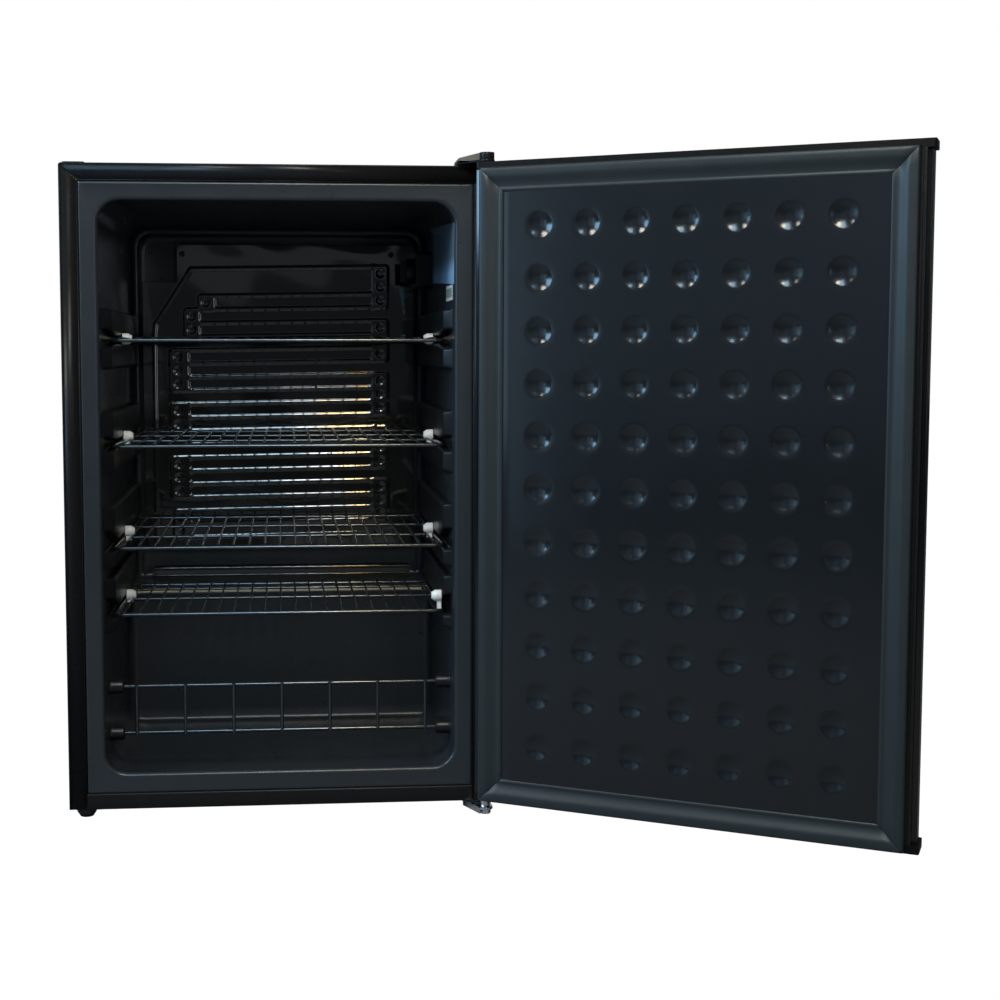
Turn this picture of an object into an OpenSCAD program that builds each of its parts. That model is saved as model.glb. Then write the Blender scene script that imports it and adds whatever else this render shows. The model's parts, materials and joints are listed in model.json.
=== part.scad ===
// Compact upright freezer cabinet with one front door, standing open.
// +X right, +Y towards the back, +Z up. Origin: on the floor under the middle of the cabinet.

/* [Cabinet] */
// Cabinet width over the painted side panels
body_w = 550; // [480:1:620]
// Cabinet height without its feet
body_h = 832; // [700:1:900]
// Cabinet depth from front frame to back panel
body_d = 500; // [470:1:560]
// Height of the feet under the cabinet
foot_h = 14; // [10:1:25]
// Insulated wall at each side of the opening
side_wall = 47; // [35:1:60]
// Insulated wall above the opening
top_wall = 46; // [35:1:60]
// Insulated wall below the opening
bottom_wall = 46; // [40:1:60]
// Corner radius of the opening
open_r = 29; // [10:1:40]
// Inside depth from the front frame to the back wall
inner_d = 445; // [430:1:450]
// Thickness of the painted steel sheet
sheet_t = 0.8; // [0.5:0.1:1.5]
// Thickness of the moulded plastic liner
liner_t = 1.5; // [1:0.1:3]

/* [Compressor bay] */
// Depth of the inner step's face behind the front frame
hump_y = 330; // [318:1:340]
// Height of the inner step above the cabinet's underside
hump_z = 238; // [236:1:240]
// Depth of the bay's front wall
bay_y = 370; // [366:1:376]
// Height of the bay's ceiling
bay_z = 207; // [204:1:210]

/* [Door] */
// Door thickness from outer face to flange plane
door_t = 38.3; // [30:0.1:50]
// Gap between the flange plane and the cabinet front, filled by the gasket
door_gap = 12.3; // [10:0.1:16]
// Underside of the door above the cabinet's underside
door_z0 = 11; // [8:0.5:12]
// Top of the door above the cabinet's underside
door_z1 = 833; // [820:0.5:833]
// Door angle from closed, as drawn
open_deg = 151.5; // [0:0.5:160]
// Hinge pin distance from the door's edge
pin_in = 9.5; // [9:0.1:12]
// Hinge pin distance in front of the cabinet's front frame
pin_fwd = 27.1; // [25.5:0.1:30]
// Hinge pin radius
pin_r = 4; // [3:0.1:5]
// Dimple columns on the door's inner panel
dimple_nx = 7; // [3:1:9]
// Dimple rows on the door's inner panel
dimple_nz = 11; // [5:1:13]
// Depth of a dimple
dimple_depth = 4; // [3:0.5:5]
// Diameter of a dimple's mouth
dimple_d = 33; // [20:1:45]

/* [Shelves] */
// Height of shelf 1 (top) above the cabinet's underside
shelf1_z = 609; // [590:1:620]
// Height of shelf 2
shelf2_z = 470; // [460:0.5:490]
// Height of shelf 3
shelf3_z = 335.5; // [325:0.5:345]
// Height of shelf 4, the short one in front of the inner step
shelf4_z = 247; // [241:0.5:260]
// Depth of shelves 1 to 3
shelf_d = 375; // [300:1:378]
// Depth of shelf 4
short_d = 265; // [200:1:280]
// Radius of the shelf frame wire
frame_r = 2.5; // [2:0.1:3]
// Spacing of the thin shelf wires
wire_step = 20.6; // [15:0.1:40]

/* [Hidden] */
black_paint = [0.04, 0.04, 0.045];
black_plastic = [0.05, 0.055, 0.06];
dark_liner = [0.07, 0.075, 0.085];
foam_col = [0.85, 0.8, 0.6];
zinc = [0.7, 0.7, 0.72];
white_plastic = [0.9, 0.9, 0.88];
wire_col = [0.12, 0.12, 0.13];
hw = body_w / 2;
ow = hw - side_wall;          // half width of the opening and the chamber
oz0 = bottom_wall;
oz1 = body_h - top_wall;
floor_z = oz0 - 10;           // chamber floor sits below the front lip
ret_s = 23;                   // front return of the side sheet
ret_t = 22;                   // front return of the top sheet
ret_b = 20;                   // front rail height
fold = 8;                     // depth of the folded edge behind the front frame
px = hw - pin_in;
py = -pin_fwd;
yi = -door_gap;               // door flange plane, closed
yo = -door_gap - door_t;      // door outer face, closed
cap_h = 10;
pad_h = 5;                    // raised field of the door's inner panel
gk_x1 = 267.4; gk_x0 = -262.5; gk_z1 = 825.2; gk_z0 = 12.9;   // gasket outline
gk_w = 31;
rail_x = 216;                 // inner face of the shelf rails
groove_x = 222.5;             // bottom of the shelf groove
rail_y0 = 40; rail_y1 = 424;
sh_hw = 218;                  // shelf frame wire centre
sh_y0 = 47.5;
shelf_zs = [shelf1_z, shelf2_z, shelf3_z, shelf4_z];
rail_up = [42, 47, 58, 50];   // top of the rail over each shelf
rail_dn = [38, 36, 27, 22];   // bottom of the rail under each shelf
mouth_up = [13, 11.5, 22, 22];   // flared mouth of each groove, over and under the shelf
mouth_dn = [9, 6.5, 3.5, 3.5];
mouth_d = 55;                 // depth of the flare
ramp = 7;                     // slope at the front end of each rail
comp = [-40, 436, 0];         // compressor centre
foot_x = 255.5; foot_y = 22;
hinge_screws = [[252, 14], [252, 30]];
base_screw_pts = [[259, 45], [240, 48]];
fit = 0.05;                   // radial running clearance
eps = 0.02;

// Cabinet frame: front plane at y 0, underside at z 0
module cab() translate([0, -body_d / 2, foot_h]) children();
// Door frame, drawn closed and turned about the hinge pin
module on_door() cab() translate([px, py, 0]) rotate([0, 0, open_deg])
  translate([-px, -py, 0]) children();
// Rounded rectangle between two corners
module rrect(x0, y0, x1, y1, r) {
  translate([x0 + r, y0]) square([x1 - x0 - 2 * r, y1 - y0]);
  translate([x0, y0 + r]) square([x1 - x0, y1 - y0 - 2 * r]);
  for (x = [x0 + r, x1 - r], y = [y0 + r, y1 - r]) translate([x, y]) circle(r, $fn = 48);
}
// Plan outline in X and Z pushed from y0 to y1
module along_y(y0, y1) translate([0, y1, 0]) rotate([90, 0, 0])
  linear_extrude(y1 - y0) children();
// Outline in Y and Z pushed from x0 to x1
module along_x(x0, x1) translate([x0, 0, 0]) rotate([90, 0, 90])
  linear_extrude(x1 - x0) children();
module box(x0, y0, z0, x1, y1, z1) translate([x0, y0, z0]) cube([x1 - x0, y1 - y0, z1 - z0]);
// Round bar from p to q
module rod(p, q, r) {
  d = q - p;
  l = norm(d);
  translate(p) rotate([0, acos(d[2] / l), atan2(d[1], d[0])]) cylinder(l, r, r, $fn = 32);
}
// Bar along a list of points with ball corners
module pipe(pts, r) {
  for (i = [0 : len(pts) - 2]) rod(pts[i], pts[i + 1], r);
  for (i = [1 : len(pts) - 2]) translate(pts[i]) sphere(r, $fn = 32);
}

// ---------- cabinet ----------
module outer_wrapper() color(black_paint) cab() {
  difference() {
    box(-hw, 0, 0, hw, body_d, body_h);
    box(-hw + sheet_t, sheet_t, -1, hw - sheet_t, body_d - sheet_t, body_h - sheet_t);
    box(-hw + ret_s, -1, -1, hw - ret_s, 5, body_h - ret_t);
    box(-hw + 12, body_d - 5, -1, hw - 12, body_d + 1, body_h - 12);
    for (p = hinge_screws) translate([p[0], p[1], body_h - 2]) cylinder(4, 2.6, 2.6, $fn = 32);
  }
  // folded inner edge of the front frame
  for (s = [-1, 1]) box(min(s * (hw - ret_s), s * (hw - ret_s + sheet_t)), 0, 1.1,
    max(s * (hw - ret_s), s * (hw - ret_s + sheet_t)), fold, body_h - ret_t + sheet_t);
  box(-hw + ret_s, 0, body_h - ret_t, hw - ret_s, fold, body_h - ret_t + sheet_t);
}
module front_bottom_rail() color(black_paint) cab() {
  w = hw - ret_s - 0.1;
  box(-w, 0, 0.1, w, sheet_t, ret_b);
  box(-w, 0, ret_b - sheet_t, w, fold, ret_b);
}
module base_pan() color(zinc) cab() difference() {
  along_x(-hw + 0.9, hw - 0.9) polygon([[sheet_t, 0], [bay_y, 0], [bay_y, bay_z - 1],
    [body_d - 1.8, bay_z - 1], [body_d - 1.8, bay_z], [bay_y - 1, bay_z], [bay_y - 1, 1],
    [sheet_t, 1]]);
  for (s = [-1, 1]) translate([s * foot_x, foot_y, -1]) cylinder(3, pin_r + fit, pin_r + fit, $fn = 40);
  for (s = [-1, 1], p = base_screw_pts) translate([s * p[0], p[1], -1])
    cylinder(3, 2.6, 2.6, $fn = 32);
  translate([268, 2.5, -1]) cylinder(3, 1.4, 1.4, $fn = 24);
  translate([0, 416, bay_z - 2]) cylinder(4, 6.2, 6.2, $fn = 40);
}
module back_panel() color(black_paint) cab()
  box(-hw + 0.9, body_d - 1.7, bay_z + 0.1, hw - 0.9, body_d - 0.9, body_h - 0.9);
module chamber_2d(g, z0) rrect(-ow - g, z0 - g, ow + g, oz1 + g, open_r + g);
module chamber(g, y0, y1) difference() {
  along_y(y0, y1) chamber_2d(g, floor_z);
  box(-ow - 20, hump_y + g, floor_z - 20, ow + 20, y1 + 1, hump_z - g);
}
module inner_liner() color(dark_liner) cab() {
  difference() {
    union() {
      // front flange with its turned edge
      box(-hw + ret_s + 0.9, 0.4, ret_b + 0.3, hw - ret_s - 0.9, fold, body_h - ret_t - 0.3);
      chamber(liner_t, 0.4, inner_d + liner_t);
    }
    difference() {
      box(-hw + ret_s + 2.4, 1.9, ret_b + 1.8, hw - ret_s - 2.4, fold + 1, body_h - ret_t - 1.8);
      along_y(0, fold + 2) chamber_2d(liner_t, floor_z);
    }
    along_y(-1, 12) chamber_2d(0, oz0);
    chamber(0, 12 - eps, inner_d);
    for (p = evap_pts) translate([p[0], inner_d - 1, p[1]]) rotate([-90, 0, 0])
      cylinder(4, 2.2, 2.2, $fn = 24);
    translate([0, 416, hump_z - 4]) cylinder(8, 6.2, 6.2, $fn = 40);
  }
  // shelf rails: a ridge over and under each groove, flared at the front
  for (i = [0 : 3], s = [-1, 1]) {
    z = shelf_zs[i];
    y1 = i == 3 ? 320 : rail_y1;
    x1 = ow + 0.5;
    up = mouth_up[i] + (mouth_up[i] - 5.5) * ramp / mouth_d;
    dn = mouth_dn[i] + (mouth_dn[i] - 2.7) * ramp / mouth_d;
    box(min(s * groove_x, s * x1), rail_y0, z - mouth_dn[i], max(s * groove_x, s * x1), y1,
      z + mouth_up[i]);
    intersection() {
      translate([0, 0, z - 40]) linear_extrude(100) polygon([[s * x1, rail_y0 - ramp],
        [s * rail_x, rail_y0], [s * rail_x, y1], [s * x1, y1]]);
      along_x(-x1, x1) union() {
        polygon([[rail_y0 - ramp, z + up], [rail_y0 + mouth_d, z + 5.5], [y1, z + 5.5],
          [y1, z + rail_up[i]], [rail_y0 - ramp, z + rail_up[i]]]);
        polygon([[rail_y0 - ramp, z - dn], [rail_y0 + mouth_d, z - 2.7], [y1, z - 2.7],
          [y1, z - rail_dn[i]], [rail_y0 - ramp, z - rail_dn[i]]]);
      }
    }
  }
  // bosses that hold the wire guard
  for (s = [-1, 1], z = [86, 149]) difference() {
    rod([s * 208.5, 58, z], [s * (ow + 0.5), 58, z], 9);
    rod([s * 207, 58, z], [s * 222, 58, z], 2.55);
  }
}
module cabinet_foam() color(foam_col) cab() difference() {
  box(-hw + 0.9, fold + 0.2, 1.1, hw - 0.9, body_d - 1.8, body_h - 0.9);
  chamber(liner_t + 0.1, 0, inner_d + liner_t + 0.1);
  box(-hw, bay_y - 1.1, 0, hw, body_d, bay_z + 0.1);
  for (s = [-1, 1]) translate([s * foot_x, foot_y, 0]) cylinder(18, 7, 7, $fn = 32);
  for (p = evap_pts) translate([p[0], inner_d - 1, p[1]]) rotate([-90, 0, 0])
    cylinder(12, 2.2, 2.2, $fn = 24);
  translate([0, 416, bay_z - 2]) cylinder(40, 6.2, 6.2, $fn = 40);
  for (s = [-1, 1], p = base_screw_pts) translate([s * p[0], p[1], 0])
    cylinder(17, 2.6, 2.6, $fn = 32);
  for (p = hinge_screws) translate([p[0], p[1], body_h - 20]) cylinder(20, 2.6, 2.6, $fn = 32);
}
module condenser_coil() color([0.75, 0.45, 0.25]) cab() for (s = [-1, 1]) {
  x = s * 271.4;
  ys = [60, 120, 180, 240, 300];
  for (i = [0 : 4]) rod([x, ys[i], 120], [x, ys[i], 760], 2.4);
  for (i = [0 : 3]) translate([x, ys[i] + 30, i % 2 == 0 ? 760 : 120])
    rotate([90, 0, 90]) rotate([0, 0, i % 2 == 0 ? 0 : 180])
      rotate_extrude(angle = 180, $fn = 48) translate([30, 0]) circle(2.4, $fn = 32);
}

// ---------- cold plate ----------
evap_pts = [[-149, 745], [175, 745], [-175, 302], [195, 488]];
// Tube rows k, left end of each row, and the groups of four rows joined at each side
function row_z(k) = 724 - 20.9 * k;
function row_l(k) = k == 2 ? -98 : k < 6 ? -121.5 : -139;
module tube_row(k) box(k == 0 ? -138 : row_l(k), 428.4, row_z(k) - 2.9, 146, 430.1, row_z(k) + 2.9);
module header(x0, x1, xr, k0, k1) difference() {
  box(x0, 428.4, row_z(k1) - 2.9, x1, 430.1, row_z(k0) + 2.9);
  for (k = [k0 : k1 - 1]) translate([xr, 427, row_z(k) - 10.45]) rotate([-90, 0, 0])
    cylinder(2.6, 6, 6, $fn = 32);
}
module evaporator_plate() color([0.1, 0.1, 0.11]) cab() difference() {
  union() {
    box(-211, 430, 290, 211, 431.5, 760);
    for (k = [0 : 20]) if (k != 1) tube_row(k);
    for (k = [0 : 4 : 16]) header(144, 172, 158, k, k + 3);
    header(-127, -98, -113.6, 2, 3);
    header(-149, -121.5, -135.5, 3, 5);
    for (k = [6, 10, 14]) header(-172, -139, -157.4, k, k + 3);
    header(-168, -139, -157.4, 18, 20);
    box(-196, 428.4, 300, -190.2, 430.1, 640);
  }
  box(-212, 420, 702, -158, 440, 761);
  for (p = evap_pts) translate([p[0], 427, p[1]]) rotate([-90, 0, 0]) cylinder(6, 2.2, 2.2, $fn = 24);
}
module evaporator_spacers() color(white_plastic) cab() for (p = evap_pts)
  translate([p[0], 431.5, p[1]]) rotate([-90, 0, 0]) difference() {
    cylinder(inner_d - 431.5, 6, 6, $fn = 32);
    translate([0, 0, -1]) cylinder(20, 2.2, 2.2, $fn = 24);
  }
module evaporator_screws() color(zinc) cab() for (p = evap_pts)
  translate([p[0], 427.4, p[1]]) rotate([-90, 0, 0]) {
    cylinder(2.6, 4.5, 4.5, $fn = 32);
    cylinder(25, 2, 2, $fn = 24);
  }
module drain_trough() color(black_plastic) cab() difference() {
  union() {
    box(-198, 404, hump_z, 202, 427.5, hump_z + 22);
    // rounded lip along the front and a bead below it
    rod([-197, 404.6, hump_z + 20], [201, 404.6, hump_z + 20], 2.8);
    rod([-197, 404.4, hump_z + 9], [201, 404.4, hump_z + 9], 1.6);
  }
  box(-196.5, 407.5, hump_z + 1.5, 200.5, 426, hump_z + 24);
  translate([0, 416, hump_z - 1]) cylinder(4, 4.5, 4.5, $fn = 32);
}
module drain_tube() color(black_plastic) cab() difference() {
  translate([0, 416, 192]) cylinder(hump_z - 192, 6, 6, $fn = 40);
  translate([0, 416, 191]) cylinder(60, 4.5, 4.5, $fn = 32);
}

// ---------- thermostat and labels ----------
th_y = 378; th_z = 717;
module thermostat_housing() color(black_plastic) cab() difference() {
  translate([206, 0, 0]) rotate([90, 0, 90]) linear_extrude(ow - 206 - 0.1)
    rrect(332, 690, 424, 744, 6);
  translate([200, th_y, th_z]) rotate([0, 90, 0]) cylinder(18, 4 + fit, 4 + fit, $fn = 40);
}
module thermostat_knob() color(dark_liner) cab() translate([0, th_y, th_z]) {
  translate([194, 0, 0]) rotate([0, 90, 0]) cylinder(11.8, 19, 19, $fn = 48);
  translate([194, 0, 0]) rotate([0, 90, 0]) cylinder(21, 4, 4, $fn = 40);
  box(186, -3, -17, 195, 3, 17);
}
// Stuck on slightly askew; its upper edge follows the rounded corner of the wall
module rating_label() color([0.62, 0.7, 0.76]) cab() intersection() {
  difference() {
    along_y(8, 292) chamber_2d(-0.05, floor_z);
    along_y(7, 293) chamber_2d(-0.5, floor_z);
  }
  translate([0, 13, 682]) rotate([2.7, 0, 0]) box(ow - 12, 0, 0, ow, 276, 79);
}
module small_label() color([0.85, 0.86, 0.84]) cab()
  box(ow - 0.5, 30, 662, ow - 0.05, 104, 682);

// ---------- shelves ----------
module wire_shelf(z, d, ys) color(wire_col) cab() {
  r = 12;
  y1 = sh_y0 + d - 2 * frame_r;
  for (s = [-1, 1]) rod([s * sh_hw, sh_y0 + r, z], [s * sh_hw, y1 - r, z], frame_r);
  for (y = [sh_y0, y1]) rod([-sh_hw + r, y, z], [sh_hw - r, y, z], frame_r);
  for (c = [[sh_hw - r, y1 - r, 0], [-sh_hw + r, y1 - r, 90], [-sh_hw + r, sh_y0 + r, 180],
      [sh_hw - r, sh_y0 + r, 270]])
    translate([c[0], c[1], z]) rotate([0, 0, c[2]]) rotate_extrude(angle = 90, $fn = 64)
      translate([r, 0]) circle(frame_r, $fn = 32);
  for (y = ys) rod([-sh_hw, y, z], [sh_hw, y, z], 2);
  n = floor(206 / wire_step);
  for (i = [-n : n]) rod([i * wire_step, sh_y0 - 2, z + 3.3], [i * wire_step, y1 + 2, z + 3.3], 1.5);
}
module shelf_1() wire_shelf(shelf1_z, shelf_d, [170, 295]);
module shelf_2() wire_shelf(shelf2_z, shelf_d, [170, 295]);
module shelf_3() wire_shelf(shelf3_z, shelf_d, [170, 295]);
module shelf_4() wire_shelf(shelf4_z, short_d, [178, 265]);
// A domed clip stands on a cross wire at each side: shelf, side, depth and height over the wires
clip_at = [[0, -1, 170, 3], [0, 1, 170, 3], [1, -1, 170, 7], [1, 1, 170, 7], [2, -1, 170, 9],
  [2, 1, 170, 9], [3, -1, 178, 6.5], [3, 1, 52, 20]];
module clips(k) color(white_plastic) cab() for (c = clip_at) if (c[0] == k) difference() {
  z = shelf_zs[k];
  s = c[1];
  y = c[2];
  union() {
    translate([s * 215.4, y, z + c[3]]) rotate([0, -90 * s, 0]) {
      cylinder(8, 7.7, 7.7, $fn = 48);
      translate([0, 0, 8]) cylinder(5, 7.7, 4.6, $fn = 48);
    }
    if (c[3] < 15) box(min(s * 206.5, s * 214.5), y - 4, z - 3.5, max(s * 206.5, s * 214.5), y + 4, z + c[3]);
    // a high clip stands on the frame wire by an arm
    if (c[3] > 15) box(s * 210, y - 3, z + 2.52, s * 215.4, y + 3, z + c[3]);
  }
  rod([-sh_hw, y, z], [sh_hw, y, z], 2.02);
  rod([s * 10 * wire_step, y - 30, z + 3.3], [s * 10 * wire_step, y + 30, z + 3.3], 1.52);
}
module shelf_clips_1() clips(0);
module shelf_clips_2() clips(1);
module shelf_clips_3() clips(2);
module shelf_clips_4() clips(3);
module bottle_guard() color(wire_col) cab() {
  for (z = [86, 149]) rod([-221, 58, z], [221, 58, z], 2.5);
  for (i = [-3 : 3]) rod([i * 64.4 + 1, 55.2, 84], [i * 64.4 + 1, 55.2, 151], 2.3);
}

// ---------- feet ----------
module foot(x) color(black_plastic) cab() translate([x, foot_y, 0]) {
  translate([0, 0, -foot_h]) cylinder(6, 8.5, 12.5, $fn = 48);
  translate([0, 0, -foot_h + 6]) cylinder(foot_h - 9.2, 12.5, 13, $fn = 48);
  translate([0, 0, -4]) cylinder(20, pin_r, pin_r, $fn = 40);
}
module front_left_foot() foot(-foot_x);
module front_right_foot() foot(foot_x);
module rear_feet() color(black_plastic) cab() for (s = [-1, 1]) translate([s * 248, 462, -foot_h]) {
  cylinder(2, 13, 13, $fn = 48);
  translate([0, 0, 2]) cylinder(foot_h - 2, 14, 14, $fn = 48);
}
module left_foot_plate() color(black_paint) cab() mirror([1, 0, 0]) difference() {
  box(234, 8, -3, 268, 60, 0);
  translate([foot_x, foot_y, -4]) cylinder(5, pin_r + fit, pin_r + fit, $fn = 40);
  for (p = base_screw_pts) translate([p[0], p[1], -4]) cylinder(5, 2.6, 2.6, $fn = 32);
}
module base_screws() color(zinc) cab() for (s = [-1, 1], p = base_screw_pts)
  translate([s * p[0], p[1], 0]) {
    translate([0, 0, -6]) cylinder(3, 4.5, 4.5, $fn = 32);
    translate([0, 0, -5]) cylinder(20, 2.5, 2.5, $fn = 32);
  }

// ---------- hinges ----------
module top_hinge_shim() color(black_plastic) cab() difference() {
  box(230, 5, body_h, 268, 40, body_h + 2);
  for (p = hinge_screws) translate([p[0], p[1], body_h - 1]) cylinder(4, 2.6, 2.6, $fn = 32);
}
module top_hinge_bracket() color(black_paint) cab() difference() {
  translate([0, 0, body_h + 2]) linear_extrude(3) {
    polygon([[230, 5], [257.5, py - 6], [275.4, py], [270, 40], [230, 40]]);
    translate([px, py]) circle(10, $fn = 48);
  }
  translate([px, py, body_h]) cylinder(8, pin_r + 0.01, pin_r + 0.01, $fn = 40);
  for (p = hinge_screws) translate([p[0], p[1], body_h]) cylinder(8, 2.6, 2.6, $fn = 32);
}
module top_hinge_pin() color(black_paint) cab() translate([px, py, 0]) {
  translate([0, 0, 813]) cylinder(body_h + 6 - 813, pin_r, pin_r, $fn = 40);
  translate([0, 0, body_h + 5]) cylinder(9, 9.4, 9.4, $fn = 14);
}
module top_hinge_screws() color(zinc) cab() for (p = hinge_screws)
  translate([p[0], p[1], 0]) {
    translate([0, 0, body_h + 5]) cylinder(3, 4.5, 4.5, $fn = 32);
    translate([0, 0, body_h - 18]) cylinder(24, 2.5, 2.5, $fn = 32);
  }
module top_hinge_cover() color([0.24, 0.22, 0.2]) cab() {
  z0 = body_h + 5;
  difference() {
    along_y(-14, 39) polygon([[231, z0], [262, z0], [262, z0 + 10.5], [257.5, z0 + 10.5], [231, z0 + 3.6]]);
    along_y(-12.8, 37.8) polygon([[232.2, z0 - 1], [260.8, z0 - 1], [260.8, z0 + 9.3], [257.8, z0 + 9.3],
      [232.2, z0 + 2.6]]);
  }
}
module lower_hinge_bracket() color(zinc) cab() difference() {
  union() {
    translate([0, 0, -3]) linear_extrude(3) {
      polygon([[240, 5], [257.5, py - 8], [275.4, py], [274.5, 60], [232, 60], [232, 40]]);
      translate([px, py]) circle(10, $fn = 48);
    }
    // turned-down front edge
    translate([0, 0, -8]) linear_extrude(6)
      polygon([[240, 5], [257.5, py - 8], [259.2, py - 6.6], [241.8, 6.2]]);
  }
  translate([px, py, -4]) cylinder(5, pin_r + 0.01, pin_r + 0.01, $fn = 40);
  translate([foot_x, foot_y, -4]) cylinder(5, pin_r + fit, pin_r + fit, $fn = 40);
  for (p = base_screw_pts) translate([p[0], p[1], -4]) cylinder(5, 2.6, 2.6, $fn = 32);
}
module lower_hinge_pin() color(zinc) cab() translate([px, py, 0]) {
  translate([0, 0, -3]) cylinder(door_z0 + 20, pin_r, pin_r, $fn = 40);
  cylinder(door_z0 - 0.1, 6, 6, $fn = 40);
  translate([0, 0, -9]) cylinder(6, 7.5, 7.5, $fn = 6);
}
module hinge_hole_plug() color(black_plastic) cab() translate([0, 0, body_h])
  linear_extrude(2.6) rrect(-272, 8, -244.5, 34, 4);

// ---------- door ----------
module door_outer_skin() color(black_paint) on_door() translate([0, 0, door_z0 + cap_h])
  linear_extrude(door_z1 - door_z0 - 2 * cap_h) difference() {
    polygon([[hw - 11, yi], [hw, yi], [hw, yo + 3], [hw - 0.9, yo + 0.9], [hw - 3, yo], [-hw + 3, yo],
      [-hw + 0.9, yo + 0.9], [-hw, yo + 3], [-hw, -22], [-hw + 12, -22], [-hw + 12, -22.8],
      [-hw + sheet_t, -22.8], [-hw + sheet_t, yo + 3.3], [-hw + 1.5, yo + 1.5],
      [-hw + 3.3, yo + sheet_t], [hw - 3.3, yo + sheet_t], [hw - 1.5, yo + 1.5],
      [hw - sheet_t, yo + 3.3], [hw - sheet_t, yi - sheet_t], [hw - 11, yi - sheet_t]]);
  }
module cap_2d() rrect(-hw - 3.5, yo - 0.5, hw, yi, 3);
module door_top_cap() color(black_plastic) on_door() difference() {
  union() {
    translate([0, 0, door_z1 - cap_h]) linear_extrude(cap_h) cap_2d();
    translate([px, py, door_z1 - 22]) cylinder(15, 8.6, 8.6, $fn = 40);
  }
  translate([px, py, door_z1 - 23]) cylinder(30, 6.5, 6.5, $fn = 40);
}
module door_bottom_cap() color(black_plastic) on_door() difference() {
  union() {
    translate([0, 0, door_z0]) linear_extrude(cap_h) cap_2d();
    translate([px, py, door_z0 + 7]) cylinder(15, 8.6, 8.6, $fn = 40);
  }
  translate([px, py, door_z0 - 1]) cylinder(30, 6.5, 6.5, $fn = 40);
}
module door_bushings() color(white_plastic) on_door()
  for (z = [door_z0, door_z1 - 22]) translate([px, py, z]) difference() {
    cylinder(22, 6.45, 6.45, $fn = 40);
    translate([0, 0, -1]) cylinder(24, pin_r + fit, pin_r + fit, $fn = 40);
  }
module door_grip_trim() color(black_plastic) on_door()
  translate([0, 0, door_z0 + cap_h + 0.1]) linear_extrude(door_z1 - door_z0 - 2 * cap_h - 0.2)
    polygon([[-269, -21.9], [-261, -21.9], [-261, yi], [-263.6, yi], [-263.6, yi - 0.8],
      [-265.4, yi - 0.8], [-265.4, yi], [-269, yi]]);
dim_r = (dimple_d * dimple_d / 4 + dimple_depth * dimple_depth) / (2 * dimple_depth);
module dimples(g) for (i = [0 : dimple_nx - 1], j = [0 : dimple_nz - 1])
  translate([187.4 - 61.16 * i, yi + pad_h + dim_r - dimple_depth, 751.4 - 66.03 * j])
    sphere(dim_r + g, $fn = 48);
module door_liner() color(dark_liner) on_door() difference() {
  union() {
    difference() {
      union() {
        box(-260.9, yi - 1.5, door_z0 + cap_h + 0.1, 263.9, yi, 822.9);
        box(-218, yi - 1.5, 57, 222, yi + pad_h, 776);
      }
      box(-216.5, yi - 2, 58.5, 220.5, yi + pad_h - 1.5, 774.5);
    }
    intersection() {
      dimples(1.5);
      box(-218, yi - 10, 57, 222, yi + pad_h - 0.5, 776);
    }
  }
  dimples(0);
}
module door_foam() color(foam_col) on_door() difference() {
  union() {
    box(-260.8, yo + 1.6, door_z0 + cap_h + 0.2, 263.8, yi - 1.6, 822.8);
    box(-273, yo + 3.4, door_z0 + cap_h + 0.2, 273, -23, 822.8);
    box(-216.4, yi - 3, 58.6, 220.4, yi + pad_h - 1.6, 774.4);
  }
  dimples(1.6);
  for (z = [door_z0 + 9, door_z1 - 23]) translate([px, py, z]) cylinder(14, 8.8, 8.8, $fn = 40);
}
// Rectangular ring on the flange plane, a to b in from the gasket's outline
module ring(a, b, y0, y1) difference() {
  box(gk_x0 + a, y0, gk_z0 + a, gk_x1 - a, y1, gk_z1 - a);
  box(gk_x0 + b, y0 - 1, gk_z0 + b, gk_x1 - b, y1 + 1, gk_z1 - b);
}
module door_gasket() color([0.16, 0.17, 0.18]) on_door() difference() {
  union() {
    ring(0, gk_w, yi, yi + 3);
    ring(0, 16, yi, -0.7);
    ring(25, gk_w, yi, yi + 4);
  }
  for (m = magnet_boxes) box(m[0], -4.7, m[1], m[2], -1.7, m[3]);
}
magnet_boxes = [
  [gk_x0 + 3, gk_z0 + 14, gk_x0 + 13, gk_z1 - 14],
  [gk_x1 - 13, gk_z0 + 14, gk_x1 - 3, gk_z1 - 14],
  [gk_x0 + 14, gk_z0 + 3, gk_x1 - 14, gk_z0 + 13],
  [gk_x0 + 14, gk_z1 - 13, gk_x1 - 14, gk_z1 - 3]];
module gasket_magnets() color([0.2, 0.2, 0.2]) on_door()
  for (m = magnet_boxes) box(m[0], -4.7, m[1], m[2], -1.7, m[3]);

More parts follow.
